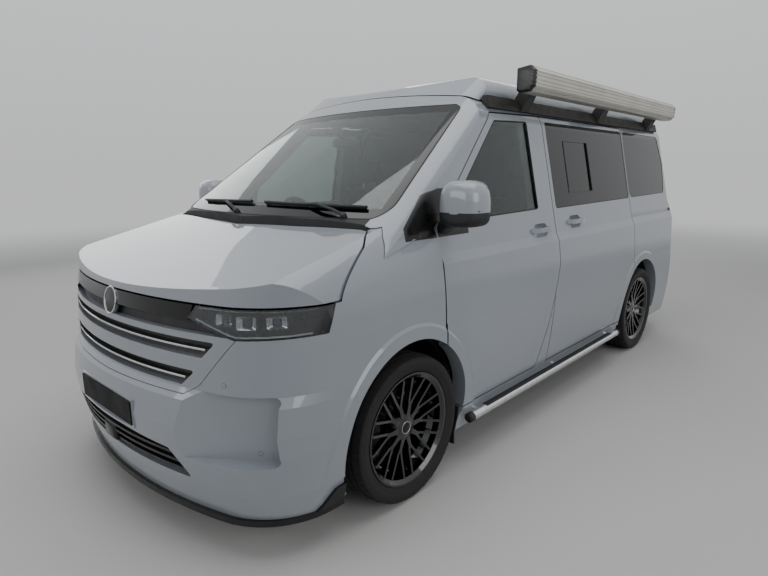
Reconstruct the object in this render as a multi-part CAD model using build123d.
# Camper van with an elevating roof, a side awning and a sliding side door.
# Millimetres. The nose points to -Y, the vehicle's left side is +X, the ground is Z = 0.
from build123d import *
from math import sqrt, hypot, sin, cos, tan, radians, atan2, degrees
import os

# Overall sizes
LENGTH = 5050.0            # bumper to bumper
WHEELBASE = 3100.0
FRONT_OVERHANG = 990.0
SKIN_HALF = 1006.0         # half width of the body side at the waist
ARCH_LIP = 9.0             # how far the wheel arch lips stand out of the body side
LIP_W = 70.0               # width of the lips
LIP_FADE = 1.6             # run of their outer slope for each mm of height
LIP_Z = 300.0              # lower ends of the lips
SILL_Z = 190.0             # underside of the body skin
WAIST_Z = 800.0            # height of the widest point
CREASE_Z = 1110.0          # shoulder crease
BELT_Z = 1268.0            # lower edge of the side glass
RAIL_Z = 1800.0            # top of the side glass
ROOF_Z = 1990.0            # crown of the steel roof

# Walls
DOOR_T = 70.0              # doors, body sides and roof
WING_T = 30.0              # bonnet, wings and bumper
INNER_T = 8.0              # inner panels behind the nose
GLASS_IN = 3.0             # how far the glass lies below the skin
GLASS_T = 6.0
GAP = 8.0                  # shut lines of the parts that open
SEAM = 4.0                 # seams between fixed panels

# Wheels and tyres
TYRE_R = 358.0
TYRE_W = 244.0
RIM_R = 275.0              # rim flange
RIM_W = 214.0
TRACK = 1756.0
ARCH_R = 430.0             # wheel arch opening
ARCH_Z = 368.0
LINER_T = 8.0
STEER_DEG = 34.0
KINGPIN_X = 806.0
STUB_R = 24.0              # stub axle in the hub
RUN = 0.3                  # running clearance of shafts and hinge pins

# Hinges
HINGE_IN = 56.0            # hinge pin behind the outer skin
HINGE_FWD = 70.0           # hinge pin ahead of the shut line
BEVEL = 0.26               # slope of the bevel on the rear edge of the front doors
PIN_R = 8.0
KNUCKLE_R = 13.0

NOSE_Y = -LENGTH / 2
TAIL_Y = LENGTH / 2
FRONT_AXLE = NOSE_Y + FRONT_OVERHANG
REAR_AXLE = FRONT_AXLE + WHEELBASE
WHEEL_X = TRACK / 2
COWL_Y = FRONT_AXLE + 245  # front edge of the front doors
B_POST_Y = COWL_Y + 1240   # shut line between the front door and the side door
SLIDE_REAR_Y = REAR_AXLE - 230
FLOOR_Z = 560.0
FLOOR_T = 40.0
MAT_T = 6.0                # raised load mat inside the side door


def face_yz(pts, r=0.0):
    """Outline in the YZ plane from (y, z) points, corners rounded by r."""
    f = make_face(Polyline(*pts, close=True))
    if r:
        f = fillet(f.vertices(), r)
    return Plane((0, 0, 0), x_dir=(0, 1, 0), z_dir=(1, 0, 0)) * f


def prism_x(pts, x0, x1, r=0.0, grow=0.0):
    """Outline of (y, z) points taken from x0 to x1."""
    f = make_face(Polyline(*pts, close=True))
    if r:
        f = fillet(f.vertices(), r)
    if grow:
        f = offset(f, amount=grow)
    return extrude(Plane((x0, 0, 0), x_dir=(0, 1, 0), z_dir=(1, 0, 0)) * f, amount=x1 - x0)


def prism_y(pts, y0, y1, r=0.0, grow=0.0):
    """Outline of (x, z) points taken from y0 to y1."""
    f = make_face(Polyline(*pts, close=True))
    if r:
        f = fillet(f.vertices(), r)
    if grow:
        f = offset(f, amount=grow)
    return extrude(Plane((0, y0, 0), x_dir=(1, 0, 0), z_dir=(0, -1, 0)) * f, amount=-(y1 - y0))


def prism_z(pts, z0, z1, r=0.0, grow=0.0):
    """Outline of (x, y) points taken from z0 to z1."""
    f = make_face(Polyline(*pts, close=True))
    if r:
        f = fillet(f.vertices(), r)
    if grow:
        f = offset(f, amount=grow)
    return extrude(Plane.XY.offset(z0) * f, amount=z1 - z0)


def block(x0, x1, y0, y1, z0, z1):
    return Pos((x0 + x1) / 2, (y0 + y1) / 2, (z0 + z1) / 2) * Box(x1 - x0, y1 - y0, z1 - z0)


def rod(p, q, r):
    """Round bar of radius r from point p to point q."""
    v = Vector(*q) - Vector(*p)
    return extrude(Plane(origin=p, z_dir=v) * Circle(r), amount=v.length)


def tube(p, q, r, bore):
    v = Vector(*q) - Vector(*p)
    return extrude(Plane(origin=p, z_dir=v) * (Circle(r) - Circle(bore)), amount=v.length)


def flip(part):
    """The same piece on the other side of the vehicle."""
    return mirror(part, about=Plane.YZ)


def both(part):
    return Compound(list(part.solids()) + list(flip(part).solids()))


def group(*parts):
    solids = []
    for p in parts:
        solids += list(p.solids())
    return Compound(solids)


# Body hull: the cabin is a cross section taken along Y and cut by plan outlines lofted over Z.
def cabin_face(i=0.0):
    """Cross section of the cabin in (x, z), inset by i."""
    h = SKIN_HALF - i
    right = [
        Line((0, SILL_Z), (h - 56, SILL_Z)),
        ThreePointArc((h - 56, SILL_Z), (h - 8, 480), (h, WAIST_Z)),
        ThreePointArc((h, WAIST_Z), (h - 5, 960), (h - 23, CREASE_Z)),
        Line((h - 23, CREASE_Z), (h - 44, CREASE_Z + 50)),
        Line((h - 44, CREASE_Z + 50), (h - 68, BELT_Z)),
        Line((h - 68, BELT_Z), (h - 178, RAIL_Z)),
        ThreePointArc((h - 178, RAIL_Z), (h - 232 + 0.15 * i, RAIL_Z + 105 - 0.75 * i),
                      (h - 350 + 0.55 * i, ROOF_Z - 32 - i)),
    ]
    p = (h - 350 + 0.55 * i, ROOF_Z - 32 - i)
    crown = ThreePointArc(p, (0, ROOF_Z - i), (-p[0], p[1]))
    left = [mirror(e, about=Plane.YZ) for e in right]
    return make_face(right + left + [crown])


def plan_face(z, yf, yr, w, bow, corner, rear_corner, rear_bow, i=0.0):
    """Plan outline at height z: bowed front, rounded corners, straight sides, bowed rear."""
    w, yf, yr, bow, rear_bow = w - i, yf + i, yr - i, bow - i, rear_bow - i
    rc, rr = max(corner - i, 12), max(rear_corner - i, 12)

    def corner_pts(y_tip, sign, big, small):
        cx = w - small
        oy = y_tip + sign * big
        cy = oy - sign * sqrt((big - small) ** 2 - cx ** 2)
        k = big / (big - small)
        t = (cx * k, oy + (cy - oy) * k)
        q = (w, cy)
        mx, my = (t[0] + q[0]) / 2 - cx, (t[1] + q[1]) / 2 - cy
        n = hypot(mx, my)
        return t, (cx + mx / n * small, cy + my / n * small), q

    t, m, q = corner_pts(yf, 1, bow, rc)
    u, n, s = corner_pts(yr, -1, rear_bow, rr)
    neg = lambda p: (-p[0], p[1])
    edges = [
        ThreePointArc(neg(t), (0, yf), t), ThreePointArc(t, m, q), Line(q, s), ThreePointArc(s, n, u),
        ThreePointArc(u, (0, yr), neg(u)), ThreePointArc(neg(u), neg(n), neg(s)),
        Line(neg(s), neg(q)), ThreePointArc(neg(q), neg(m), neg(t)),
    ]
    return Plane.XY.offset(z) * make_face(edges)


WS_BASE = (1338.0, -1733.0)       # windscreen centre line: (z, y) at its base and top
WS_TOP = (1910.0, -917.0)
ws_y = lambda z: WS_BASE[1] + (z - WS_BASE[0]) * (WS_TOP[1] - WS_BASE[1]) / (WS_TOP[0] - WS_BASE[0])
roof_z = lambda x: ROOF_Z - 32 * (x / (SKIN_HALF - 350)) ** 2
glass_w = lambda z: SKIN_HALF - 68 - (z - BELT_Z) * 110 / (RAIL_Z - BELT_Z) + 0.5

CABIN_PLANS = [
    # z, front y, rear y, half width, front bow, front corner, rear corner, rear bow
    (100, -2000, TAIL_Y - 25, SKIN_HALF + 13, 2000, 170, 140, 6000),
    (620, -2000, TAIL_Y, SKIN_HALF + 13, 2000, 170, 140, 6000),
    (CREASE_Z, ws_y(CREASE_Z), TAIL_Y - 5, SKIN_HALF - 10, 2000, 170, 130, 6000),
    (BELT_Z, ws_y(BELT_Z), TAIL_Y - 13, glass_w(BELT_Z), 2500, 170, 130, 6000),
    (2100, ws_y(2100), TAIL_Y - 85, glass_w(2100), 1750, 170, 110, 6000),
]


def cabin(i=0.0):
    f = Plane((0, -2000, 0), x_dir=(1, 0, 0), z_dir=(0, -1, 0)) * cabin_face(i)
    return extrude(f, amount=-4700) & loft([plan_face(*p, i=i) for p in CABIN_PLANS], ruled=True)


# Nose hull: crowned cross sections lofted over Y and cut by plan outlines lofted over Z.
def nose_section(y, waist, upper, crease, knee, shoulder, crown, i=0.0):
    base = (SKIN_HALF - 56 - i, SILL_Z)
    sh = (shoulder[0] - i, shoulder[1] - i)
    kn = (knee[0] - i * 0.9, knee[1] - i * 0.6)
    up, cr = (upper[0] - i, upper[1]), (crease[0] - i, crease[1])
    right = [
        Line((0, SILL_Z), base),
        ThreePointArc(base, (SKIN_HALF - 8 - i, 480), (SKIN_HALF - i, waist)),
        ThreePointArc((SKIN_HALF - i, waist), up, cr),
        ThreePointArc(cr, kn, sh),
    ]
    top = ThreePointArc(sh, (0, crown - i), (-sh[0], sh[1]))
    left = [mirror(e, about=Plane.YZ) for e in right]
    return Plane((0, y, 0), x_dir=(1, 0, 0), z_dir=(0, -1, 0)) * make_face(right + left + [top])


NOSE_PLANS = [
    # z, front y, half width, front bow, corner radius
    (SILL_Z - 30, NOSE_Y + 85, SKIN_HALF - 55, 2400, 360),
    (300, NOSE_Y + 45, SKIN_HALF - 27, 2400, 380),
    (480, NOSE_Y + 4, SKIN_HALF - 7, 2400, 400),
    (560, NOSE_Y, SKIN_HALF - 3, 2400, 400),
    (680, NOSE_Y + 18, SKIN_HALF + 0.5, 2400, 400),
    (720, NOSE_Y + 50, SKIN_HALF + 1, 2400, 400),
    (950, NOSE_Y + 70, SKIN_HALF - 4, 2400, 400),
    (1050, NOSE_Y + 88, SKIN_HALF - 10, 2400, 400),
    (1500, NOSE_Y + 150, SKIN_HALF + 40, 2400, 400),
]


def nose(i=0.0):
    front = nose_section(NOSE_Y - 75, 770, (SKIN_HALF - 4, 880), (SKIN_HALF - 16, 995),
                         (SKIN_HALF - 48, 1042), (SKIN_HALF - 106, 1052), 1036, i)
    rear = nose_section(COWL_Y, WAIST_Z, (SKIN_HALF - 5, 960), (SKIN_HALF - 23, CREASE_Z),
                        (SKIN_HALF - 66, 1265), (SKIN_HALF - 146, 1385), 1440, i)
    tops = loft([front, rear], ruled=True)
    plans = [plan_face(z, yf, COWL_Y + 400, w, bow, rc, 30, 9000, i=i) for z, yf, w, bow, rc in NOSE_PLANS]
    return tops & loft(plans, ruled=True)


hull = cabin()
hull_in = cabin(DOOR_T)
hull_room_in = cabin(DOOR_T + RUN)
nose_out = nose()
nose_in = nose(WING_T)
nose_core = nose(WING_T + INNER_T)
skin = hull - hull_in
behind_nose = block(-1200, 1200, COWL_Y, 2700, 0, 2300)
nose_sides = block(-1200, 1200, -2200, COWL_Y, 0, CREASE_Z + 20)
shell = (skin & behind_nose) + (skin - behind_nose - nose_sides - nose(-SEAM))
nose_shell = nose_out - nose_in


def lip_cone(side, ay):
    """Cone round the wheel arch that fades its lip out into the body side."""
    x0, x1 = SKIN_HALF - 80, SKIN_HALF + ARCH_LIP + 10
    r0, r1 = [ARCH_R + LIP_W - LIP_FADE * (x - SKIN_HALF) for x in (x0, x1)]
    cone = Pos(side * (x0 + x1) / 2, ay, ARCH_Z) * Rot(0, side * 90, 0) * Cone(r0, r1, x1 - x0)
    return cone & block(-1200, 1200, -2200, 2200, LIP_Z, 1000)


lip_skin = cabin(-ARCH_LIP) - cabin(20)
nose_lip_skin = nose(-ARCH_LIP) - nose(15)
for side in (-1, 1):
    shell = shell + (lip_skin & behind_nose & lip_cone(side, FRONT_AXLE))
    shell = shell + (lip_skin & lip_cone(side, REAR_AXLE))
    nose_shell = nose_shell + (nose_lip_skin & lip_cone(side, FRONT_AXLE))
nose_inner = nose(WING_T + RUN) - nose_core
glass_layer = cabin(GLASS_IN) - cabin(GLASS_IN + GLASS_T)

# Outlines in (y, z)
SILL_TOP = 330.0
DOOR_TOP = 1885.0
door_pts = [
    (COWL_Y, SILL_TOP), (COWL_Y, 1290), (COWL_Y + 650, DOOR_TOP - 17), (B_POST_Y, DOOR_TOP),
    (B_POST_Y, 960), (B_POST_Y - 60, 780), (B_POST_Y - 150, 560), (B_POST_Y - 236, 354), (B_POST_Y - 250, SILL_TOP),
]
slide_pts = [
    (B_POST_Y, DOOR_TOP), (B_POST_Y, 960), (B_POST_Y - 60, 780), (B_POST_Y - 85, 560),
    (B_POST_Y - 94, SILL_TOP), (SLIDE_REAR_Y, SILL_TOP), (SLIDE_REAR_Y, DOOR_TOP),
]
door_glass_pts = [
    (COWL_Y + 88, 1303), (COWL_Y + 672, 1824), (B_POST_Y - 200, 1836), (B_POST_Y - 200, 1318),
]
slide_glass_pts = [(B_POST_Y + 55, 1322), (SLIDE_REAR_Y - 40, 1338), (SLIDE_REAR_Y - 40, 1842), (B_POST_Y + 55, 1840)]
quarter_pts = [(SLIDE_REAR_Y + 40, 1340), (TAIL_Y - 280, 1352), (TAIL_Y - 225, 1600), (TAIL_Y - 300, 1838),
               (SLIDE_REAR_Y + 40, 1842)]

# The fixed side glass is bonded in a rebate round its opening
PANE_EDGE = 12.0                   # from the panes to the shut line between them
slide_pane_pts = [(B_POST_Y + 42, 1310), (SLIDE_REAR_Y - PANE_EDGE, 1326), (SLIDE_REAR_Y - PANE_EDGE, 1853),
                  (B_POST_Y + 42, 1851)]
quarter_pane_pts = [(SLIDE_REAR_Y + PANE_EDGE, 1328), (TAIL_Y - 266, 1340), (TAIL_Y - 210, 1600),
                    (TAIL_Y - 288, 1849), (SLIDE_REAR_Y + PANE_EDGE, 1853)]

# Outlines in (x, z), right half first
WS_CUT = [(861, 1338), (722, 1910), (-722, 1910), (-861, 1338)]
TAILGATE_Y = TAIL_Y - 127          # front edge of the tailgate, on the roof
BUMPER_TOP = 480.0
tail_half = [(880, BUMPER_TOP + 8), (880, BELT_Z), (770, 1800), (735, 2100)]
tail_pts = tail_half + [(-x, z) for x, z in reversed(tail_half)]
tail_glass_half = [(790, 1290), (700, 1790)]
tail_glass_pts = tail_glass_half + [(-x, z) for x, z in reversed(tail_glass_half)]

# Wheel arches
arch_cut = {}
liner_ring = {}
for name, ay in (("front", FRONT_AXLE), ("rear", REAR_AXLE)):
    at = Plane(origin=(540, ay, ARCH_Z), z_dir=(1, 0, 0))
    arch_cut[name] = both(extrude(at * Circle(ARCH_R), amount=600))
    ring = extrude(at * (Circle(ARCH_R + LINER_T) - Circle(ARCH_R)), amount=480)
    liner_ring[name] = ring & block(500, 1100, ay - 600, ay + 600, 300, 1000)
arches = group(arch_cut["front"], arch_cut["rear"])

# Hinge with a goose neck: local x runs from the pin to the panel, local y to the outer skin.
def hinge(pin, toward, along, reach=HINGE_FWD, inner=HINGE_IN - DOOR_T, drop=82.0, width=40.0, post=110.0):
    at = Plane(origin=pin, x_dir=toward, z_dir=along)
    s = -width / 2
    # the neck passes behind the fixed skin and ends on the inner face of the panel
    arm_pts = [(-9, -12), (-9, -drop), (reach + 34, -drop), (reach + 34, inner), (reach + 18, inner),
               (reach + 18, 14 - drop), (7, 14 - drop), (7, -12)]
    eye = Circle(KNUCKLE_R) - Circle(PIN_R + RUN)
    neck = make_face(Polyline(*arm_pts, close=True)) - Circle(PIN_R + RUN)
    arm = extrude(at.offset(s) * (eye + neck), amount=width)
    cheek = make_face(Polyline((-12, 12), (12, 12), (12, -14), (2, -post), (-26, -post), close=True))
    cheeks = [extrude(at.offset(z) * cheek, amount=12) for z in (s - 14, -s + 2)]
    pin_bar = extrude(at.offset(s - 14) * Circle(PIN_R), amount=width + 28)
    return arm, cheeks[0] + cheeks[1] + pin_bar


# Front doors
HINGE_X = SKIN_HALF - HINGE_IN
HINGE_Y = COWL_Y + GAP / 2 - HINGE_FWD
SIDE_X = 560.0             # side openings are cut outwards from here
left_door = shell & prism_x(door_pts, SIDE_X, 1100, grow=-GAP / 2)
left_door = left_door - prism_x(door_glass_pts, 700, 1100, r=18) - arch_cut["front"]

# Its front edge is hollowed round the hinge pins, so that it swings clear of the wing
SWING_GAP = 8.5
swing = lambda skin_x: hypot(skin_x - HINGE_X, HINGE_FWD - GAP + SWING_GAP)
LIP_TOP = ARCH_Z + sqrt((ARCH_R + LIP_W) ** 2 - (COWL_Y - FRONT_AXLE) ** 2) + 20
LIP_FOOT = ARCH_Z + sqrt(ARCH_R ** 2 - (COWL_Y - FRONT_AXLE) ** 2) - 60
edge_pts = [(0, 300), (swing(SKIN_HALF), 300), (swing(SKIN_HALF), LIP_FOOT), (swing(SKIN_HALF + ARCH_LIP), LIP_FOOT),
            (swing(SKIN_HALF + ARCH_LIP), LIP_TOP), (swing(SKIN_HALF - 1), LIP_TOP), (swing(SKIN_HALF - 5), 960),
            (swing(SKIN_HALF - 20), CREASE_Z), (swing(SKIN_HALF - 26), CREASE_Z + 35),
            (swing(SKIN_HALF - 38), CREASE_Z + 75), (0, CREASE_Z + 75)]
hollow = Plane.XZ * make_face(Polyline(*edge_pts, close=True))
left_door = left_door - Pos(HINGE_X, HINGE_Y, 0) * revolve(hollow, axis=Axis.Z, revolution_arc=360)

# Its rear edge is bevelled along the tumblehome, because the hinge line is upright
LEAN = 110 / (RAIL_Z - BELT_Z)
bevel_x = SKIN_HALF - 68 + LEAN * (BELT_Z - 900)
bevel_pts = [(bevel_x, B_POST_Y + 60), (bevel_x, B_POST_Y - GAP / 2), (bevel_x - 100, B_POST_Y - GAP / 2 - BEVEL * 100),
             (bevel_x - 160, B_POST_Y - GAP / 2 - BEVEL * 100), (bevel_x - 160, B_POST_Y + 60)]
bevel = Plane.XY.offset(900) * make_face(Polyline(*bevel_pts, close=True))
left_door = left_door - extrude(bevel, amount=1100, dir=(-LEAN, 0, 1))
left_door_glass = glass_layer & prism_x(door_glass_pts, 700, 1100, r=18)
door_hinges = []
for hz in (840, 965):
    arm, fixed = hinge((HINGE_X, HINGE_Y, hz), (0, 1, 0), (0, 0, -1))
    left_door = left_door + arm
    door_hinges.append(fixed)


def with_handle(door, y0, y1, z):
    """Door with a grip from y0 to y1 over a bowl in the skin."""
    skin_x = SKIN_HALF - 23 - (z - CREASE_Z) * 0.36
    bowl_y, bowl_x = (y0 + y1) / 2, skin_x + 24
    half = (y1 - y0) / 2 - 82
    bowl = rod((bowl_x, bowl_y - half, z), (bowl_x, bowl_y + half, z), BOWL_R)
    for y in (bowl_y - half, bowl_y + half):
        bowl = bowl + Pos(bowl_x, y, z) * Sphere(BOWL_R)
    out = skin_x + GRIP_OUT
    plan = [(skin_x - 14, y0), (skin_x + 9, y0 + 2), (out - 7, y0 + 34), (out, y0 + 70), (out, y1 - 70), (out - 7, y1 - 34),
            (skin_x + 9, y1 - 2), (skin_x - 14, y1), (skin_x - 14, y1 - 46), (out - 20, y1 - 66), (out - 20, y0 + 66),
            (skin_x - 14, y0 + 46)]
    grip = prism_z(plan, z - GRIP_W / 2, z + GRIP_W / 2)
    grip = grip & prism_x([(y0, z - 9), (y0 + 24, z - GRIP_W / 2), (y1 - 24, z - GRIP_W / 2), (y1, z - 9), (y1, z + 9),
                           (y1 - 24, z + GRIP_W / 2), (y0 + 24, z + GRIP_W / 2), (y0, z + 9)], 700, 1100)
    return (door - bowl) + grip


BOWL_R = 46.0              # bowls behind the door handles
GRIP_W = 30.0
GRIP_OUT = 40.0            # how far the grips stand out of the skin
left_door = with_handle(left_door, B_POST_Y - 335, B_POST_Y - 75, 1196)

left_door_solid = left_door
right_door = flip(left_door)
right_door_glass = flip(left_door_glass)

A_POST_X = HINGE_X - 110
BULKHEAD_Y = COWL_Y - 180         # cabin side of the bulkhead
a_post = block(A_POST_X - 80, A_POST_X, BULKHEAD_Y, HINGE_Y + 22, 806, 1230)

# Side door, fixed shut: it slides back along the groove in the body side
slide_cut = prism_x(slide_pts, SIDE_X, 1100, grow=GAP / 2) - arch_cut["rear"]
slide_glass_cut = prism_x(slide_glass_pts, 700, 1100, r=30)
slide_pane = prism_x(slide_pane_pts, 700, 1100, r=24)
quarter_pane = prism_x(quarter_pane_pts, 700, 1100, r=52)
rebate_layer = hull - cabin(GLASS_IN + GLASS_T)
slide_rebate = rebate_layer & slide_pane
quarter_rebate = rebate_layer & quarter_pane
rollers = [block(895, 925, SLIDE_REAR_Y - 30, SLIDE_REAR_Y + GAP / 2, 1150, 1190)]
rollers += [block(900, 925, y, y + 60, SILL_TOP - GAP / 2, SILL_TOP + 30) for y in (B_POST_Y + 150, SLIDE_REAR_Y - 420)]
sliding_door = (shell & prism_x(slide_pts, SIDE_X, 1100, grow=-GAP / 2)) - slide_glass_cut
sliding_door = sliding_door - arch_cut["rear"]
sliding_door = sliding_door - slide_rebate
sliding_door = with_handle(sliding_door, B_POST_Y + 165, B_POST_Y + 425, 1216)
for r in rollers:
    sliding_door = sliding_door + r

# Tailgate, hinged on the roof
TAIL_HINGE_X = 560.0
TAIL_PIN_IN = 36.0                 # its hinge pins below the roof skin
TAIL_DROP = 105.0                  # how far its hinge arms reach below the pins
TAIL_EDGE_R = 85.0                 # rear edge of the roof, round the hinge pins
TAIL_EDGE_GAP = 7.0
PIN_Y = TAILGATE_Y - HINGE_FWD
PIN_Z = roof_z(TAIL_HINGE_X) - TAIL_PIN_IN
rear_in = lambda z: TAIL_Y - 13 - DOOR_T - 72 * (z - BELT_Z) / (2100 - BELT_Z)
tail_side = [(rear_in(1850) - 8, 2200), (rear_in(1850) - 8, 1850), (rear_in(BELT_Z) - 8, BELT_Z),
             (rear_in(BELT_Z) - 8, 400), (TAIL_Y + 200, 400), (TAIL_Y + 200, 2200)]


def tail_zone(grow, r):
    zone = prism_y(tail_pts, TAIL_Y - 300, TAIL_Y + 200, grow=grow) & prism_x(tail_side, -1200, 1200, grow=grow)
    return zone - rod((-1200, PIN_Y, PIN_Z), (1200, PIN_Y, PIN_Z), r)


tail_cut = tail_zone(GAP / 2, TAIL_EDGE_R)
# The body's opening behind the tailgate, MOUTH_LIP inside its edge
MOUTH_LIP = 30.0
mouth_cut = prism_y(tail_pts, TAIL_Y - 300, TAIL_Y + 200, grow=-MOUTH_LIP) & block(-1000, 1000, 2000, 2800, 505, 1775)
tail_glass_cut = prism_y(tail_glass_pts, TAIL_Y - 200, TAIL_Y + 200, r=40)
tailgate = (shell & tail_zone(-GAP / 2, TAIL_EDGE_R + TAIL_EDGE_GAP)) - tail_glass_cut
tailgate_glass = glass_layer & tail_glass_cut
REAR_PLATE_Y = TAIL_Y - 18         # floor of the plate's rebate
rear_plate_zone = block(-290, 290, REAR_PLATE_Y, TAIL_Y + 60, 960, 1120)
tailgate = tailgate - rear_plate_zone
rear_plate = block(-262, 262, REAR_PLATE_Y, REAR_PLATE_Y + 6, 985, 1095)
tail_fixed = []
tail_pockets = []
for x in (-TAIL_HINGE_X, TAIL_HINGE_X):
    arm, fixed = hinge((x, PIN_Y, PIN_Z), (0, 1, 0), (1, 0, 0), inner=TAIL_PIN_IN - DOOR_T, drop=TAIL_DROP, post=13)
    tail_pockets.append(block(x - 40, x + 40, PIN_Y - 30, PIN_Y + TAIL_EDGE_R + 10, 1780, PIN_Z + KNUCKLE_R + 5))
    for x0 in (x - 34, x + 22):
        fixed = fixed + block(x0, x0 + 12, PIN_Y - 30, PIN_Y, PIN_Z - 9, PIN_Z + 9)
    tailgate = tailgate + arm
    tail_fixed.append(fixed)

# Bonnet outline in (x, y), with room for its rear edge to swing up
bonnet_pts = [(620, NOSE_Y + 20), (1100, NOSE_Y + 500), (985, FRONT_AXLE - 430), (905, FRONT_AXLE - 215),
              (840, FRONT_AXLE - 124), (800, FRONT_AXLE - 120), (430, FRONT_AXLE - 190), (0, FRONT_AXLE - 238)]
bonnet_pts = bonnet_pts + [(-x, y) for x, y in reversed(bonnet_pts[:-1])]
BONNET_Z = 1056.0
bonnet_cut = prism_z(bonnet_pts, BONNET_Z - GAP / 2, 1600, grow=GAP / 2)
BONNET_SWING = 20.0
bonnet_back = Pos(0, BONNET_SWING, 0) * prism_z(bonnet_pts, 1285, 1600, grow=GAP / 2)

# Body side panels and roof
ROOF_SPLIT = 1892.0
door_cut = prism_x(door_pts, SIDE_X, 1100, grow=GAP / 2)
quarter_cut = prism_x(quarter_pts, 700, 1100, r=45)
ws_cut = prism_y(WS_CUT, -2100, -700, r=60)
REAR_BUMPER_Y = REAR_AXLE + 470
bumper_zone = block(-1200, 1200, REAR_BUMPER_Y, 2700, 0, BUMPER_TOP)
LENS_T = 4.0               # covers of the lamps
LAMP_WALL = 7.0
LAMP_DEPTH = 46.0
FLAP_SEAM_Z = 640.0        # lower edge of the filler flap
lamp_pts = [(TAIL_Y - 128, 905), (TAIL_Y + 60, 905), (TAIL_Y + 60, 1570), (TAIL_Y - 165, 1570)]
lamp_cut = prism_x(lamp_pts, 500, 1100, r=14)
tail_pockets = group(*tail_pockets)
scuttle_pts = [(-2000, CREASE_Z + 60), (-2000, 1338), (COWL_Y - 250, 1338), (COWL_Y - 250, CREASE_Z + 60)]
scuttle_zone = prism_x(scuttle_pts, -800, 800)
body_sides = shell - ws_cut - scuttle_zone - bonnet_back - tail_cut - mouth_cut - tail_pockets - arches - bumper_zone - block(-1200, 1200, -2200, 2700, ROOF_SPLIT, 2200)
left_side = body_sides & block(5, 1200, -2200, 2700, 0, 2200)
right_side = body_sides & block(-1200, -5, -2200, 2700, 0, 2200)
rail_groove = block(SKIN_HALF - 60, 1100, SLIDE_REAR_Y + 8, TAIL_Y - 130, 1172, 1198)
left_side = left_side - door_cut - slide_cut - quarter_cut - quarter_rebate - rail_groove - lamp_cut
flap_seam = block(SKIN_HALF - 14, 1100, B_POST_Y - 170, B_POST_Y - 50, FLAP_SEAM_Z, FLAP_SEAM_Z + 3)
left_side = left_side - flap_seam
right_side = right_side - flip(door_cut) - flip(slide_glass_cut) - flip(quarter_cut) - flip(lamp_cut)
right_side = right_side - flip(slide_rebate) - flip(quarter_rebate)
lamp_unit = (skin - tail_cut - mouth_cut) & lamp_cut
lamp_room = (cabin(LENS_T) - cabin(LAMP_DEPTH)) & prism_x(lamp_pts, 500, 1100, r=14, grow=-LAMP_WALL)
lamp_room = lamp_room - tail_zone(GAP / 2 + LAMP_WALL, TAIL_EDGE_R)
lamp_room = lamp_room - block(-900 + MOUTH_LIP, 900 - MOUTH_LIP, 2000, 2800, 500, 1775)
rear_lens = lamp_unit - cabin(LENS_T)
rear_lamp_box = (lamp_unit & cabin(LENS_T)) - lamp_room
rear_lamps = group(rear_lens, flip(rear_lens))
rear_lamp_housings = group(rear_lamp_box, flip(rear_lamp_box))
rear_bumper = shell & bumper_zone
roof_panel = (shell & block(-1200, 1200, -2200, 2700, ROOF_SPLIT, 2200)) - ws_cut - tail_cut
HATCH_X, HATCH_Y0, HATCH_Y1 = 560.0, -620.0, 1980.0
roof_panel = roof_panel - block(-HATCH_X, HATCH_X, HATCH_Y0, HATCH_Y1, 1800, 2200)
roof_panel = roof_panel - tail_pockets
windscreen = glass_layer & ws_cut
side_windows = group(glass_layer & slide_pane, glass_layer & quarter_pane,
                     flip(glass_layer & slide_pane), flip(glass_layer & quarter_pane))

# Nose panels
bonnet = nose_shell & prism_z(bonnet_pts, BONNET_Z + GAP / 2, 1600, grow=-GAP / 2)
BONNET_PIN = (700.0, BULKHEAD_Y - 30, 1290.0)
BONNET_REACH = 168.0
bonnet_arm, bonnet_fixed = hinge(BONNET_PIN, (0, -1, 0), (-1, 0, 0), reach=BONNET_REACH, inner=-23, drop=164, post=60)
bonnet = bonnet + bonnet_arm + flip(bonnet_arm)
room_pts = [(-1720, 1000), (-1720, 1252), (BONNET_PIN[1] - 30, 1290), (BONNET_PIN[1] - 22, 1309),
            (BONNET_PIN[1] + 24, 1309), (BONNET_PIN[1] + 24, 1000)]
hinge_room = prism_x(room_pts, BONNET_PIN[0] - 42, BONNET_PIN[0] + 42)
hinge_room = group(hinge_room, flip(hinge_room))

lamp_front = [(560, 1000), (600, BONNET_Z - 2), (1100, 1200), (1100, 930), (1000, 944), (786, 936)]
head_cut = prism_y(lamp_front, NOSE_Y - 50, FRONT_AXLE - 380) & prism_x(
    [(NOSE_Y - 50, 900), (FRONT_AXLE - 520, 900), (FRONT_AXLE - 420, 1125), (NOSE_Y - 50, 1125)], 400, 1200)
head_cut = head_cut - bonnet_cut
head_unit = (nose_out - nose(80)) & head_cut
lens_core = nose(LENS_T)
head_room = prism_y(lamp_front, NOSE_Y - 50, FRONT_AXLE - 380, grow=-LAMP_WALL) & prism_x(
    [(NOSE_Y - 50, 900), (FRONT_AXLE - 532, 900), (FRONT_AXLE - 434, 1125), (NOSE_Y - 50, 1125)], 400, 1200)
head_room = head_room - prism_z(bonnet_pts, BONNET_Z - GAP / 2 - LAMP_WALL, 1600, grow=GAP / 2 + LAMP_WALL)
head_lens = head_unit - lens_core
head_box = (head_unit & lens_core) - ((lens_core - nose(70)) & head_room)
headlamps = group(head_lens, flip(head_lens))
headlamp_housings = group(head_box, flip(head_box))

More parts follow.
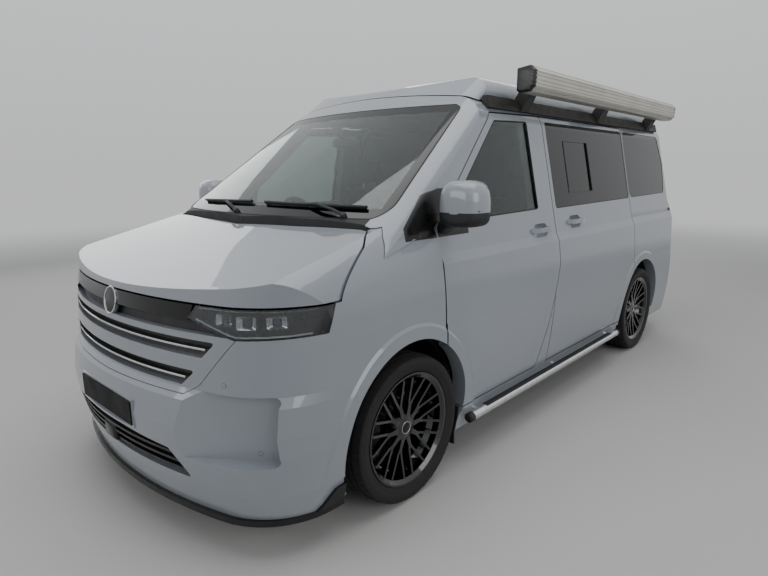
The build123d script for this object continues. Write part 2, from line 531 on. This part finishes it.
BUMPER_SEAM_Z = 706.0
wing_bumper_pts = [(NOSE_Y - 100, 100), (FRONT_AXLE - 380, 100), (FRONT_AXLE - 400, 760),
                   (FRONT_AXLE - 510, 944), (NOSE_Y - 100, 944)]
bumper_side = prism_x(wing_bumper_pts, -1200, 1200)
header_pts = [(560, 1000), (600, BONNET_Z - 2), (-600, BONNET_Z - 2), (-560, 1000), (-560, 996), (560, 996)]
header_cut = prism_y([(566, 992), (600, BONNET_Z + 60), (-600, BONNET_Z + 60), (-566, 992)], NOSE_Y - 50, NOSE_Y + 400) - bonnet_cut
arch_front = arch_cut["front"]
door_clear = group(door_cut, flip(door_cut))
skin_rest = nose_shell - bonnet_cut - head_cut - flip(head_cut) - header_cut - arch_front
COWL_STRIP = 90.0
cowl_zone = prism_z([(835, COWL_Y - 470), (835, COWL_Y - 180), (-835, COWL_Y - 180), (-835, COWL_Y - 470),
                     (0, COWL_Y - 540)], 1200, 1500)
wing_zone = block(835, 1200, FRONT_AXLE - 700, COWL_Y - GAP / 2, 300, 1600)
wings_l = (skin_rest - bumper_side) & wing_zone
wings_l = wings_l - door_cut
front_wings = group(wings_l, flip(wings_l))
upper_grille = [(704, 918), (640, 852), (-640, 852), (-704, 918)]
middle_grille = [(606, 795), (536, 730), (-536, 730), (-606, 795)]
grille_cut = group(prism_y(upper_grille, NOSE_Y - 50, NOSE_Y + 400, r=7),
                   prism_y(middle_grille, NOSE_Y - 50, NOSE_Y + 400, r=7))
lower_pts = [(150, 480), (478, 460), (572, 338), (-572, 338), (-478, 460), (-150, 480)]
lower_cut = prism_y(lower_pts, NOSE_Y - 50, NOSE_Y + 400, r=10)
front_bumper = (skin_rest & bumper_side) - grille_cut - lower_cut

# Seam of the grille surround, from the lamps down and under the grille
surround = [(0, 1100), (930, 1100), (800, 948), (630, 742), (562, 700), (0, 696)]
surround = surround + [(-x, z) for x, z in reversed(surround[1:-1])]
seam_ring = prism_y(surround, NOSE_Y - 50, NOSE_Y + 600, grow=1.5) - prism_y(surround, NOSE_Y - 50, NOSE_Y + 600, grow=-1.5)
front_bumper = front_bumper - (seam_ring - nose(6))

# Side pockets in the bumper, deepest at their outer ends
POCKET_Z = (440.0, 722.0)
POCKET_WALL = 7.0
pocket_plan = [(520, NOSE_Y + 49), (893, NOSE_Y + 320), (930, NOSE_Y + 299), (1150, NOSE_Y + 125), (1150, NOSE_Y - 275),
               (520, NOSE_Y - 275)]
pocket_front = [(400, POCKET_Z[0]), (934, POCKET_Z[0]), (934, POCKET_Z[1]), (400, POCKET_Z[1])]


def pocket_zone(grow):
    plan = prism_z(pocket_plan, 300, 900, grow=grow)
    return plan & prism_y(pocket_front, NOSE_Y - 100, NOSE_Y + 600, r=30, grow=grow)


pocket = pocket_zone(0)
pocket_back = (pocket_zone(POCKET_WALL) & nose_out) - pocket
front_bumper = (front_bumper - pocket - flip(pocket)) + pocket_back + flip(pocket_back)
pocket_room = pocket_zone(POCKET_WALL + RUN)

# Plates: a flat rebate in the bumper and another in the tailgate, with a blank plate in each
PLATE_HALF = 262.0
PLATE_T = 6.0
PLATE_Z = (502.0, 608.0)
plinth_y = NOSE_Y + 13
plinth = block(-PLATE_HALF - 12, PLATE_HALF + 12, plinth_y, plinth_y + 15, PLATE_Z[0] - 10, PLATE_Z[1] + 10)
front_bumper = front_bumper + plinth
front_bumper = front_bumper - block(-PLATE_HALF - 12, PLATE_HALF + 12, NOSE_Y - 60, plinth_y, PLATE_Z[0] - 10, PLATE_Z[1] + 10)
front_plate = block(-PLATE_HALF, PLATE_HALF, plinth_y - PLATE_T, plinth_y, *PLATE_Z)
header = (nose_shell & header_cut) - head_cut - flip(head_cut)
grille = (nose_inner & (grille_cut + lower_cut))
for z in (762, 885):
    grille = grille + ((nose(4) - nose_in) & grille_cut & block(-1000, 1000, -3000, -1500, z - 6, z + 6))
for z in (372, 408, 444):
    grille = grille + ((nose_out - nose_in) & lower_cut & block(-1000, 1000, -3000, -1500, z - 7, z + 7))
inner_panels = nose_inner - bonnet_cut - hinge_room - grille_cut - lower_cut - head_cut - flip(head_cut) - arch_front
inner_panels = inner_panels - pocket_room - flip(pocket_room)
inner_panels = inner_panels & block(-1200, 1200, -2600, FRONT_AXLE + 100, 230, 1500)
cowl = (nose_out - nose_in) & cowl_zone
cowl = cowl + ((skin & scuttle_zone) - nose_in)
cowl = cowl - bonnet_cut - bonnet_back - hinge_room


# Splitter under the front bumper, with winglets ahead of the wheels
SPLIT_T = 26.0
split_args = (NOSE_Y + 76, COWL_Y, SKIN_HALF - 60, 2400, 360, 30, 9000)
splitter = extrude(plan_face(SILL_Z - SPLIT_T, *split_args, i=-16), amount=SPLIT_T)
splitter = splitter - extrude(plan_face(SILL_Z - SPLIT_T - 1, *split_args, i=70), amount=SPLIT_T + 2)
splitter = splitter & block(-1200, 1200, -2700, FRONT_AXLE - 415, 0, 400)
winglet = (nose(-14) - nose_out) & prism_x(
    [(FRONT_AXLE - 415, SILL_Z), (FRONT_AXLE - 415, 268), (FRONT_AXLE - 470, 262), (FRONT_AXLE - 560, SILL_Z)], 600, 1100)
splitter = group(splitter + winglet + flip(winglet))

# Wheel: barrel, spokes, hub and brake disc in one piece, its axis along X, outer face to +X
SPOKES = 10
SPOKE_IN, SPOKE_OUT = 56.0, 236.0
HUB_X = 46.0               # mounting face
DISC_R = 160.0
DISC_X = (-38.0, -14.0)
BEAD_R = RIM_R - 17
half_w = RIM_W / 2


def ring_x(pts):
    """Solid of revolution about X from (x, r) points."""
    f = make_face(Polyline(*[(x, r) for x, r in pts], close=True))
    return revolve(f, axis=Axis.X, revolution_arc=360)


barrel = ring_x([
    (half_w, RIM_R), (half_w - 11, RIM_R), (half_w - 11, BEAD_R), (58, BEAD_R - 3), (36, 234), (-44, 234), (-66, BEAD_R - 3),
    (11 - half_w, BEAD_R), (11 - half_w, RIM_R), (-half_w, RIM_R), (-half_w, RIM_R - 10), (-half_w + 24, BEAD_R - 12),
    (-62, BEAD_R - 14), (-40, 225), (34, 225), (60, BEAD_R - 16), (half_w - 14, BEAD_R - 10), (half_w, RIM_R - 9)])
hub = ring_x([(0, 0), (HUB_X + 34, 0), (HUB_X + 34, 34), (HUB_X + 26, 66), (HUB_X, 78), (HUB_X - 26, 78), (HUB_X - 26, 60), (0, 60)])
disc = ring_x([(DISC_X[0], 62), (DISC_X[0], DISC_R), (DISC_X[1], DISC_R), (DISC_X[1], 76), (HUB_X - 26, 76), (HUB_X - 26, 58), (DISC_X[0], 58)])


def polar(r, deg):
    return (r * cos(radians(deg)), r * sin(radians(deg)))


def bar_2d(r0, a0, w0, r1, a1, w1):
    """Tapered bar from polar point (r0, a0) to (r1, a1) with widths w0 and w1."""
    p, q = Vector(*polar(r0, a0)), Vector(*polar(r1, a1))
    d = (q - p).normalized()
    n = Vector(-d.Y, d.X)
    pts = [p + n * w0 / 2, q + n * w1 / 2, q - n * w1 / 2, p - n * w0 / 2]
    return make_face(Polyline(*[(v.X, v.Y) for v in pts], close=True))


spoke_2d = bar_2d(SPOKE_IN, 0, 26, 126, 0, 19)
for a in (-11, 11):
    spoke_2d = spoke_2d + bar_2d(104, a * 0.12, 13, SPOKE_OUT + 18, a, 12)
pattern = Sketch() + [Rot(0, 0, k * 360 / SPOKES) * spoke_2d for k in range(SPOKES)]
wheel_plane = Plane((0, 0, 0), x_dir=(0, 1, 0), z_dir=(1, 0, 0))
envelope = ring_x([(HUB_X - 4, SPOKE_IN - 6), (HUB_X + 30, SPOKE_IN - 6), (HUB_X + 30, 74), (74, 130), (half_w - 12, SPOKE_OUT + 13),
                   (half_w - 40, SPOKE_OUT + 13), (48, 150), (HUB_X - 14, 84)])
spokes = extrude(wheel_plane.offset(20) * pattern, amount=100) & envelope
bore = rod((-60, 0, 0), (HUB_X - 6, 0, 0), STUB_R + RUN)
wheel = (barrel + hub + disc + spokes) - bore

# Tyre
tw = TYRE_W / 2
tyre_outer = [
    Line((76, BEAD_R), (half_w - 11, BEAD_R)), Line((half_w - 11, BEAD_R), (half_w - 11, RIM_R + 1)),
    ThreePointArc((half_w - 11, RIM_R + 1), (tw - 1, RIM_R + 32), (tw - 6, RIM_R + 58)),
    ThreePointArc((tw - 6, RIM_R + 58), (tw - 14, TYRE_R - 9), (tw - 30, TYRE_R - 2)),
    ThreePointArc((tw - 30, TYRE_R - 2), (0, TYRE_R), (30 - tw, TYRE_R - 2)),
    ThreePointArc((30 - tw, TYRE_R - 2), (14 - tw, TYRE_R - 9), (6 - tw, RIM_R + 58)),
    ThreePointArc((6 - tw, RIM_R + 58), (1 - tw, RIM_R + 32), (11 - half_w, RIM_R + 1)),
    Line((11 - half_w, RIM_R + 1), (11 - half_w, BEAD_R)), Line((11 - half_w, BEAD_R), (-76, BEAD_R)),
    Line((-76, BEAD_R), (-78, RIM_R + 8)),
    ThreePointArc((-78, RIM_R + 8), (16 - tw, RIM_R + 38), (34 - tw, TYRE_R - 14)),
    Line((34 - tw, TYRE_R - 14), (tw - 34, TYRE_R - 14)),
    ThreePointArc((tw - 34, TYRE_R - 14), (tw - 16, RIM_R + 38), (78, RIM_R + 8)),
    Line((78, RIM_R + 8), (76, BEAD_R)),
]
tyre = revolve(make_face(tyre_outer), axis=Axis.X, revolution_arc=360)
corners = {"front_left": (1, FRONT_AXLE), "front_right": (-1, FRONT_AXLE), "rear_left": (1, REAR_AXLE), "rear_right": (-1, REAR_AXLE)}


def on_corner(part, side, y):
    return Pos(side * WHEEL_X, y, TYRE_R) * (part if side > 0 else flip(part))


# Front suspension: knuckle turning on two kingpins between fixed arms
UP_H = 105.0
ARM_R = 26.0
cal = block(DISC_X[0] - 17, DISC_X[1] + 17, -202, -100, -52, 52) - rod((DISC_X[0] - 5, 0, 0), (DISC_X[1] + 5, 0, 0), DISC_R + 6)
kx = KINGPIN_X - WHEEL_X
upright = block(kx - 18, kx + 18, -45, 45, -UP_H, UP_H) + rod((kx, 0, 0), (HUB_X - 7, 0, 0), STUB_R)
upright = upright + block(kx - 18, DISC_X[0] - 5, -120, 0, -40, 40) + cal
upright = upright + rod((kx, 0, -UP_H - 44), (kx, 0, UP_H + 44), 12)
left_knuckle = on_corner(upright, 1, FRONT_AXLE)
right_knuckle = flip(left_knuckle)

RAIL_X = (430.0, 500.0)
RAIL_Z0 = 430.0
TOWER_X = 540.0
susp = []
for s in (-1, 1):
    z0 = TYRE_R + s * (UP_H + 6)
    z1 = z0 + s * 25
    za, zb = min(z0, z1), max(z0, z1)
    arm = Pos(KINGPIN_X, FRONT_AXLE, (za + zb) / 2) * Cylinder(ARM_R, zb - za)
    arm = arm + block(TOWER_X, KINGPIN_X, FRONT_AXLE - 22, FRONT_AXLE + 22, za, zb)
    susp.append(arm - rod((KINGPIN_X, FRONT_AXLE, za - 1), (KINGPIN_X, FRONT_AXLE, zb + 1), 12 + RUN))
tower = block(RAIL_X[1], TOWER_X, FRONT_AXLE - 40, FRONT_AXLE + 40, 215, ARCH_Z + ARCH_R + LINER_T)
strut = rod((640, FRONT_AXLE, TYRE_R - UP_H - 6), (640, FRONT_AXLE, ARCH_Z + ARCH_R + 6), 24)
strut = strut + rod((640, FRONT_AXLE, 520), (640, FRONT_AXLE, 740), 44)
strut = strut & rod((500, FRONT_AXLE, ARCH_Z), (1000, FRONT_AXLE, ARCH_Z), ARCH_R)
strut = strut - block(500, 900, FRONT_AXLE - 60, FRONT_AXLE + 60, TYRE_R + UP_H, TYRE_R + UP_H + 37)
left_susp = susp[0] + susp[1] + tower
crossbeam = block(-TOWER_X, TOWER_X, FRONT_AXLE - 40, FRONT_AXLE + 40, 170, 215)
front_suspension = group(left_susp + flip(left_susp) + crossbeam)

# Wheel arch liners
front_liner = (liner_ring["front"] & nose_core & block(TOWER_X, 1000, -2100, COWL_Y - GAP, 300, 1000))
front_liner = front_liner + (liner_ring["front"] & block(TOWER_X, 900, COWL_Y - GAP, -1000, 300, 1000))
wall = Plane(origin=(TOWER_X, FRONT_AXLE, ARCH_Z), z_dir=(1, 0, 0)) * Circle(ARCH_R)
front_liner = front_liner + (extrude(wall, amount=LINER_T) & block(500, 900, -2100, -1000, 530, 900))
REAR_LINER_X = 640.0
rear_liner = liner_ring["rear"] & hull_in & block(REAR_LINER_X, 1000, 1000, 2100, 300, 1000)
wall = Plane(origin=(REAR_LINER_X, REAR_AXLE, ARCH_Z), z_dir=(1, 0, 0)) * Circle(ARCH_R)
rear_liner = rear_liner + (extrude(wall, amount=LINER_T) & block(600, 900, 1000, 2100, 450, 900))
arch_liners = group(front_liner, flip(front_liner), rear_liner, flip(rear_liner))
arch_room = {}
for name, x, y in (("front", TOWER_X, FRONT_AXLE), ("rear", REAR_LINER_X, REAR_AXLE)):
    at = Plane(origin=(x - RUN, y, ARCH_Z), z_dir=(1, 0, 0))
    arch_room[name] = both(extrude(at * Circle(ARCH_R + LINER_T + RUN), amount=500))

# Floor, bulkhead and frame
floor = block(-922, 922, BULKHEAD_Y, SLIDE_REAR_Y + 10, FLOOR_Z - FLOOR_T, FLOOR_Z)
floor = floor + (block(-1000, 1000, SLIDE_REAR_Y + 10, TAIL_Y - 145, FLOOR_Z - FLOOR_T, FLOOR_Z) & hull_room_in)
for s in (-1, 1):
    x = sorted((s * 880, s * 888))
    floor = floor + block(x[0], x[1], FRONT_AXLE + ARCH_R + 25, REAR_AXLE - ARCH_R - 25, SILL_TOP - 30, FLOOR_Z - FLOOR_T)
floor = floor - arch_room["front"] - arch_room["rear"]
floor = floor + block(-430, 760, 70, 1030, FLOOR_Z, FLOOR_Z + MAT_T)
bulkhead = block(-1000, 1000, BULKHEAD_Y - 10, BULKHEAD_Y, FLOOR_Z - FLOOR_T, 1500) & nose_core
bulkhead = bulkhead - arch_room["front"]
bulkhead = bulkhead + bonnet_fixed + flip(bonnet_fixed)
bulkhead = group(bulkhead, a_post, flip(a_post), *door_hinges, *[flip(h) for h in door_hinges])
rails = block(RAIL_X[0], RAIL_X[1], NOSE_Y + 235, TAIL_Y - 125, RAIL_Z0, FLOOR_Z - FLOOR_T)
frame = group(rails, flip(rails))
for y in (-1000, -250, 500, 900):
    cross = (block(-1000, 1000, y - 30, y + 30, 240, 300) & hull_in) - arch_room["front"] - arch_room["rear"]
    for s in (-1, 1):
        x = sorted((s * RAIL_X[0], s * RAIL_X[1]))
        cross = cross + block(x[0], x[1], y - 30, y + 30, 300, RAIL_Z0)
    frame = frame + cross
bumper_beam = (block(-1000, 1000, NOSE_Y + 185, NOSE_Y + 235, 440, 520) & nose_core) - pocket_room - flip(pocket_room)
rear_beam = block(-1000, 1000, TAIL_Y - 125, TAIL_Y - 50, 400, 476) & hull_room_in
chassis = frame + bumper_beam + rear_beam

# Rear axle with trailing arms, springs and stub axles
rear_stub = rod((-90, 0, 0), (HUB_X - 7, 0, 0), STUB_R) + block(-178, -80, -50, 50, -62, 62)
left_end = on_corner(rear_stub, 1, REAR_AXLE)
rear_axle = rod((-720, REAR_AXLE, TYRE_R), (720, REAR_AXLE, TYRE_R), 38) + left_end + flip(left_end)
for s in (-1, 1):
    x = sorted((s * (RAIL_X[0] + 8), s * (RAIL_X[1] - 8)))
    rear_axle = rear_axle + block(x[0], x[1], REAR_AXLE - 560, REAR_AXLE, 335, 381)
    rear_axle = rear_axle + block(x[0], x[1], REAR_AXLE - 560, REAR_AXLE - 500, 335, RAIL_Z0)
    rear_axle = rear_axle + rod((s * 560, REAR_AXLE, TYRE_R), (s * 560, REAR_AXLE, FLOOR_Z - FLOOR_T), 46)

# Power unit, exhaust and tank
engine = block(-330, 330, NOSE_Y + 380, FRONT_AXLE - 75, 400, 980)
engine = engine + block(-RAIL_X[0], RAIL_X[0], NOSE_Y + 560, NOSE_Y + 660, 440, 500)
exhaust = rod((180, FRONT_AXLE - 160, 440), (180, FRONT_AXLE + 60, 350), 28) + rod((180, FRONT_AXLE + 55, 350), (180, 1100, 350), 28)
exhaust = exhaust + block(120, 410, 1080, 1440, 325, 430)
for y in (1140, 1380):
    exhaust = exhaust + rod((265, y, 425), (265, y, FLOOR_Z - FLOOR_T), 8)
exhaust = exhaust - engine
fuel_tank = block(-400, -60, -270, 520, 300, 425)


# Elevating roof: crowned section, side profile and plan outline, hollow below
POP_HALF = 746.0
POP_T = 24.0
POP_TOP = 2112.0
POP_REAR = TAIL_Y - 280
POP_CLEAR = 6.0


def pop_solid(i=0.0):
    h, zt = POP_HALF - i, POP_TOP - i
    right = [Line((0, 1850), (h, 1850)), Line((h, 1850), (h - 6, 1985)),
             ThreePointArc((h - 6, 1985), (h - 34, 2046 - 0.7 * i), (h - 100, 2078 - i))]
    crown = ThreePointArc((h - 100, 2078 - i), (0, zt), (100 - h, 2078 - i))
    sec = make_face(right + [mirror(e, about=Plane.YZ) for e in right] + [crown])
    body = extrude(Plane((0, -1200, 0), x_dir=(1, 0, 0), z_dir=(0, -1, 0)) * sec, amount=-4000)
    side = [Line((-1200, 1850), (-1200, 1855 - i)), Line((-1200, 1855 - i), (-780, 2022 - i)),
            ThreePointArc((-780, 2022 - i), (-560, 2078 - i), (-200, 2108 - i)),
            ThreePointArc((-200, 2108 - i), (900, 2114 - i), (1900, 2086 - i)),
            Line((1900, 2086 - i), (2700, 2016 - i)), Line((2700, 2016 - i), (2700, 1850)), Line((2700, 1850), (-1200, 1850))]
    prof = Plane((-900, 0, 0), x_dir=(0, 1, 0), z_dir=(1, 0, 0)) * make_face(side)
    plans = [plan_face(z, ws_y(z) + 8, POP_REAR - (z - 1850) * 0.15, POP_HALF + 0.5, 1900, 150, 110, 6000, i=i) for z in (1850, 2150)]
    return body & extrude(prof, amount=1800) & loft(plans, ruled=True)


pop_top = pop_solid() - pop_solid(POP_T) - cabin(-POP_CLEAR)
POP_PIN = (POP_REAR + 6, 1996.0)
for x in (-420, 420):
    tab = rod((x - 20, *POP_PIN), (x + 20, *POP_PIN), 12) + (block(x - 20, x + 20, POP_REAR - 60, POP_PIN[0], 1990, 2008) - pop_solid(POP_T))
    pop_top = pop_top + (tab - rod((x - 30, *POP_PIN), (x + 30, *POP_PIN), 6 + RUN))
    foot = block(x - 36, x - 26, POP_PIN[0] - 14, POP_PIN[0] + 14, 1900, POP_PIN[1] + 12)
    foot = foot + block(x + 26, x + 36, POP_PIN[0] - 14, POP_PIN[0] + 14, 1900, POP_PIN[1] + 12)
    foot = foot + rod((x - 36, *POP_PIN), (x + 36, *POP_PIN), 6)
    roof_panel = roof_panel + (foot - hull)
roof_panel = group(roof_panel, *tail_fixed)

# Awning case on brackets above the sliding door side
AWN_Y0, AWN_Y1 = -470.0, 2170.0
AWN_CAP = 26.0
awn_pts = [(868, 1992), (868, 2112), (950, 2122), (984, 2092), (980, 2010), (950, 1982), (884, 1980)]
awning = prism_y(awn_pts, AWN_Y0 + AWN_CAP, AWN_Y1 - AWN_CAP, r=9)
awning_caps = group(prism_y(awn_pts, AWN_Y0, AWN_Y0 + AWN_CAP, r=9), prism_y(awn_pts, AWN_Y1 - AWN_CAP, AWN_Y1, r=9))
bracket_pts = [(868, 2000), (868, 2080), (845, 2080), (770, 1975), (770, 1896), (812, 1896)]
hull_room = cabin(-RUN)
brackets = [prism_y(bracket_pts, y, y + 90) - hull_room for y in (-300, 850, 1960)]
rail_bar = prism_y([(756, 1896), (756, 1962), (790, 1962), (806, 1896)], -640, 2280) - hull_room
awning_brackets = group(brackets[0] + brackets[1] + brackets[2] + rail_bar)

# Side bars under the sills
BAR_X, BAR_Z, BAR_R = 1008.0, 262.0, 26.0
bar_y = (FRONT_AXLE + ARCH_R + 25, REAR_AXLE - ARCH_R - 85)
bar = rod((BAR_X, bar_y[0], BAR_Z), (BAR_X, bar_y[1], BAR_Z), BAR_R)
for y in (bar_y[0] + 120, 0, bar_y[1] - 120):
    bar = bar + (rod((940, y, BAR_Z), (BAR_X, y, BAR_Z), 14) - hull)
side_bars = both(bar)

# Mud flaps behind the wheels, bent to the wheel arch
FLAP_T = 8.0
FLAP_Z = (125.0, 190.0, 322.0)     # lower edge, bend, upper edge
flaps = []
for ay in (FRONT_AXLE, REAR_AXLE):
    ring = Plane(origin=(800, ay, ARCH_Z), z_dir=(1, 0, 0)) * (Circle(ARCH_R - RUN) - Circle(ARCH_R - RUN - FLAP_T))
    flap = extrude(ring, amount=162) & block(780, 980, ay, ay + 500, FLAP_Z[1], FLAP_Z[2])
    y = ay + sqrt((ARCH_R - RUN) ** 2 - (ARCH_Z - FLAP_Z[1]) ** 2)
    flaps.append(flap + block(800, 962, y - FLAP_T - 0.5, y, FLAP_Z[0], FLAP_Z[1]))
mudflaps = both(group(*flaps))

# Mirrors, carried by the doors
mirror_head = block(964, 1186, -1345, -1205, 1294, 1508)
mirror_head = fillet(mirror_head.edges().filter_by(Axis.Y), 52)
arm_y = COWL_Y + 62
mirror_arm = prism_z([(900, arm_y), (900, arm_y + 78), (1010, arm_y + 23), (1010, arm_y - 62), (975, arm_y - 62),
                      (948, arm_y)], 1272, 1322) - hull
left_mirror = mirror_head + mirror_arm
right_mirror = flip(left_mirror)

# Cabin fittings
dash = prism_x([(BULKHEAD_Y, 930), (BULKHEAD_Y, 1330), (-1330, 1348), (-1160, 1300), (-1105, 1200), (-1140, 1060), (-1250, 930)], -835, 835)
dash = dash - a_post - flip(a_post) - inner_panels
COL = (-420.0, -1130.0, 1140.0)
COL_DIR = (0, cos(radians(28)), sin(radians(28)))
col_at = lambda t: (COL[0], COL[1] + COL_DIR[1] * t, COL[2] + COL_DIR[2] * t)
column = tube(col_at(-60), col_at(110), 26, 12 + RUN)
dash = (dash - rod(col_at(-60), col_at(140), 26)) + column
rim_plane = Plane(origin=col_at(170), x_dir=(1, 0, 0), z_dir=COL_DIR)
steering_wheel = rim_plane * Torus(182, 15) + rod(col_at(-40), col_at(186), 12) + rod(col_at(140), col_at(190), 52)
for a in (0, 180, 270):
    steering_wheel = steering_wheel + rim_plane * Rot(0, 0, a) * Pos(95, 0, -6) * Box(160, 34, 14)

# Seats: outlines in (y, z)
seat_pts = {
    "base": [(-900, FLOOR_Z), (-900, 790), (-470, 790), (-470, FLOOR_Z)],
    "cushion": [(-960, 790), (-965, 880), (-900, 925), (-470, 895), (-450, 790)],
    "back": [(-470, 897), (-380, 1470), (-300, 1460), (-350, 880), (-450, 800)],
    "rest": [(-380, 1470), (-365, 1650), (-300, 1650), (-300, 1460)],
}
seats = []
for x in (-420, 420):
    for part, half in (("base", 190), ("cushion", 245), ("back", 240), ("rest", 120)):
        seats.append(prism_x(seat_pts[part], x - half, x + half))
front_seats = group(*seats)
bench = [prism_x([(1080, FLOOR_Z), (1080, 880), (1580, 880), (1580, FLOOR_Z)], -400, 636),
         prism_x([(1040, 880), (1040, 990), (1560, 960), (1580, 880)], -400, 636),
         prism_x([(1580, 880), (1560, 960), (1640, 1500), (1730, 1500), (1700, 880)], -400, 636)]
rear_bench = group(*bench)
kitchen = block(-850, -440, 40, 1990, FLOOR_Z, 1270) - arch_room["rear"]

os.makedirs("parts", exist_ok=True)
nodes = {
    "left_side_panel": left_side, "right_side_panel": right_side, "roof_panel": roof_panel,
    "windscreen": windscreen, "side_windows": side_windows, "sliding_door": sliding_door,
    "left_front_door": left_door, "right_front_door": right_door,
    "left_door_glass": left_door_glass, "right_door_glass": right_door_glass,
    "left_mirror": left_mirror, "right_mirror": right_mirror,
    "tailgate": tailgate, "tailgate_glass": tailgate_glass, "rear_lamps": rear_lamps, "rear_bumper": rear_bumper,
    "rear_lamp_housings": rear_lamp_housings, "rear_plate": rear_plate, "front_plate": front_plate,
    "headlamp_housings": headlamp_housings,
    "bonnet": bonnet, "front_wings": front_wings, "front_bumper": front_bumper, "header_panel": header,
    "grille": grille, "headlamps": headlamps, "inner_panels": inner_panels, "cowl": cowl, "splitter": splitter,
    "pop_top": pop_top, "awning_case": awning, "awning_caps": awning_caps, "awning_brackets": awning_brackets,
    "side_bars": side_bars, "mudflaps": mudflaps, "arch_liners": arch_liners,
    "floor": floor, "bulkhead": bulkhead, "chassis": chassis, "front_suspension": front_suspension,
    "rear_axle": rear_axle, "engine": engine, "exhaust": exhaust, "fuel_tank": fuel_tank,
    "left_knuckle": left_knuckle, "right_knuckle": right_knuckle,
    "dashboard": dash, "steering_wheel": steering_wheel, "front_seats": front_seats,
    "rear_bench": rear_bench, "kitchen_unit": kitchen,
}
for name, (side, y) in corners.items():
    nodes[name + "_wheel"] = on_corner(wheel, side, y)
    nodes[name + "_tyre"] = on_corner(tyre, side, y)
for name, part in nodes.items():
    export_step(Compound(list(part.solids())), f"parts/{name}.step")
